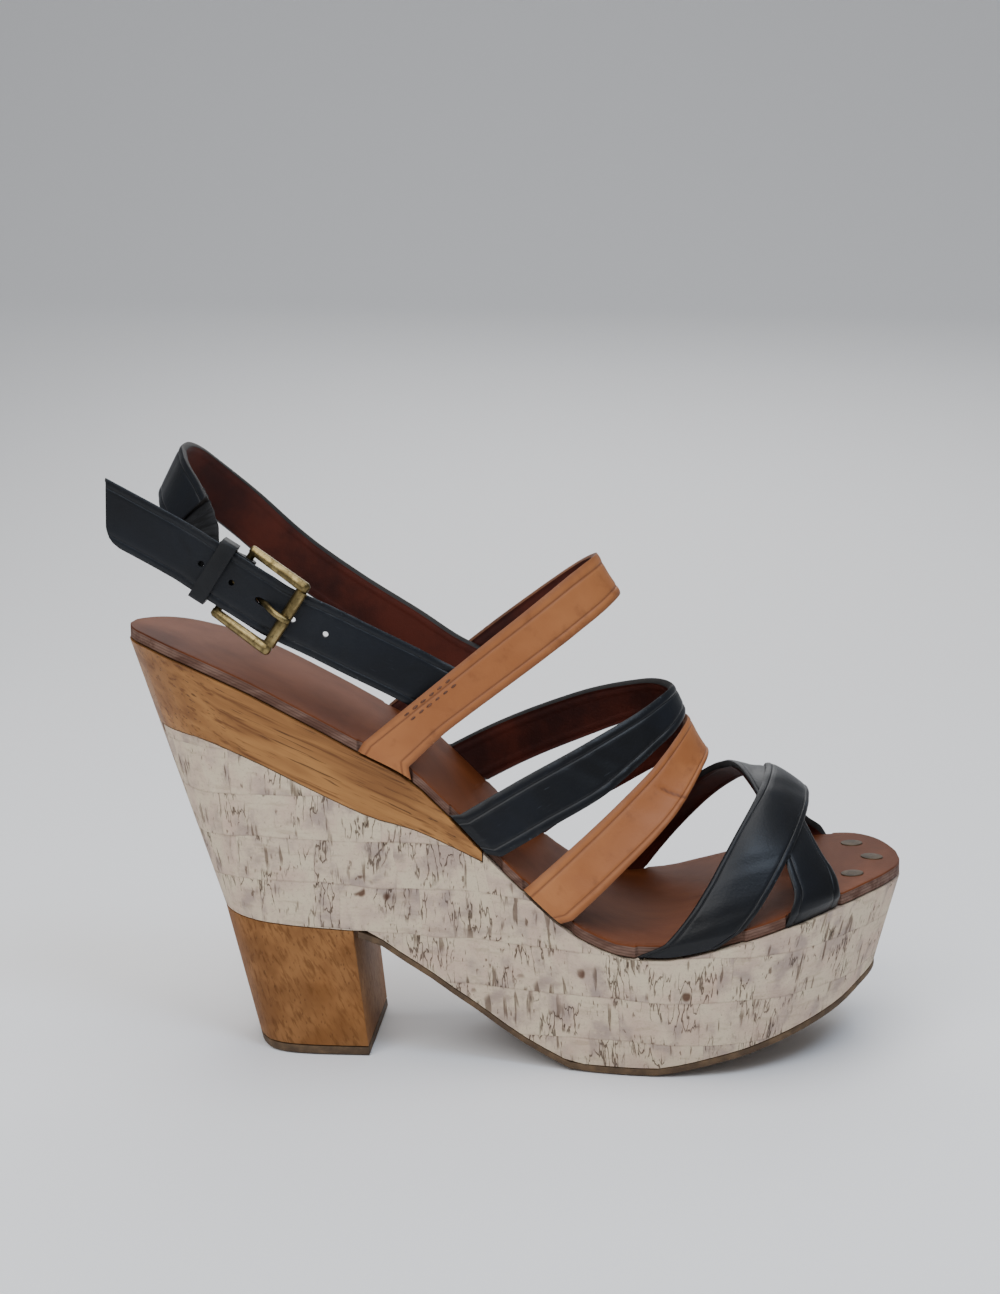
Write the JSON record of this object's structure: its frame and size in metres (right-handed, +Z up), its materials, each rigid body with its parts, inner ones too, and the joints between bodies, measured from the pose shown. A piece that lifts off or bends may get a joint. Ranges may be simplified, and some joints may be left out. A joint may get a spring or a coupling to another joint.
{
  "type": "platform sandal",
  "caption": "Open-toed platform sandal for the right foot: cork platform with wooden seat wedge and block heel, crossing leather straps and a buckled ankle strap",
  "frame": {"origin": "centre of the heel's floor face", "axes": "+X to the toe, +Y to the inner (big toe) side, +Z up; heel and forefoot stand on Z = 0"},
  "size_m": [0.22, 0.085, 0.1712],
  "materials": {
    "black_leather": "polished black leather, scuffed",
    "antique_brass": "brushed antique brass",
    "cork": "pale matte cork with dark flecks",
    "footbed_leather": "smooth cognac leather, worn",
    "tan_leather": "smooth tan leather, slight sheen",
    "heel_wood": "stained and sealed wood, mottled",
    "lift_rubber": "matte worn brown rubber",
    "rubber": "matte worn brown rubber",
    "seat_wood": "honey coloured sealed wood with long grain",
    "gather": "matte black gathered elastic",
    "stud": "dull antique metal"
  },
  "bodies": {
    "root": {"back_strap": "black_leather", "buckle_frame": "antique_brass", "buckle_prong": "antique_brass", "buckle_roller": "antique_brass", "buckle_tab": "black_leather", "cork_platform": "cork", "footbed": "footbed_leather", "front_vamp_strap": "tan_leather", "heel_block": "heel_wood", "heel_lift": "lift_rubber", "instep_strap": "tan_leather", "keeper": "black_leather", "outsole": "rubber", "quarter_strap": "black_leather", "rear_vamp_strap": "black_leather", "seat_wedge": "seat_wood", "strap_gather": "gather", "toe_cross_straps": "black_leather", "toe_stud_inner": "stud", "toe_stud_middle": "stud", "toe_stud_outer": "stud"}
  },
  "joints": []
}
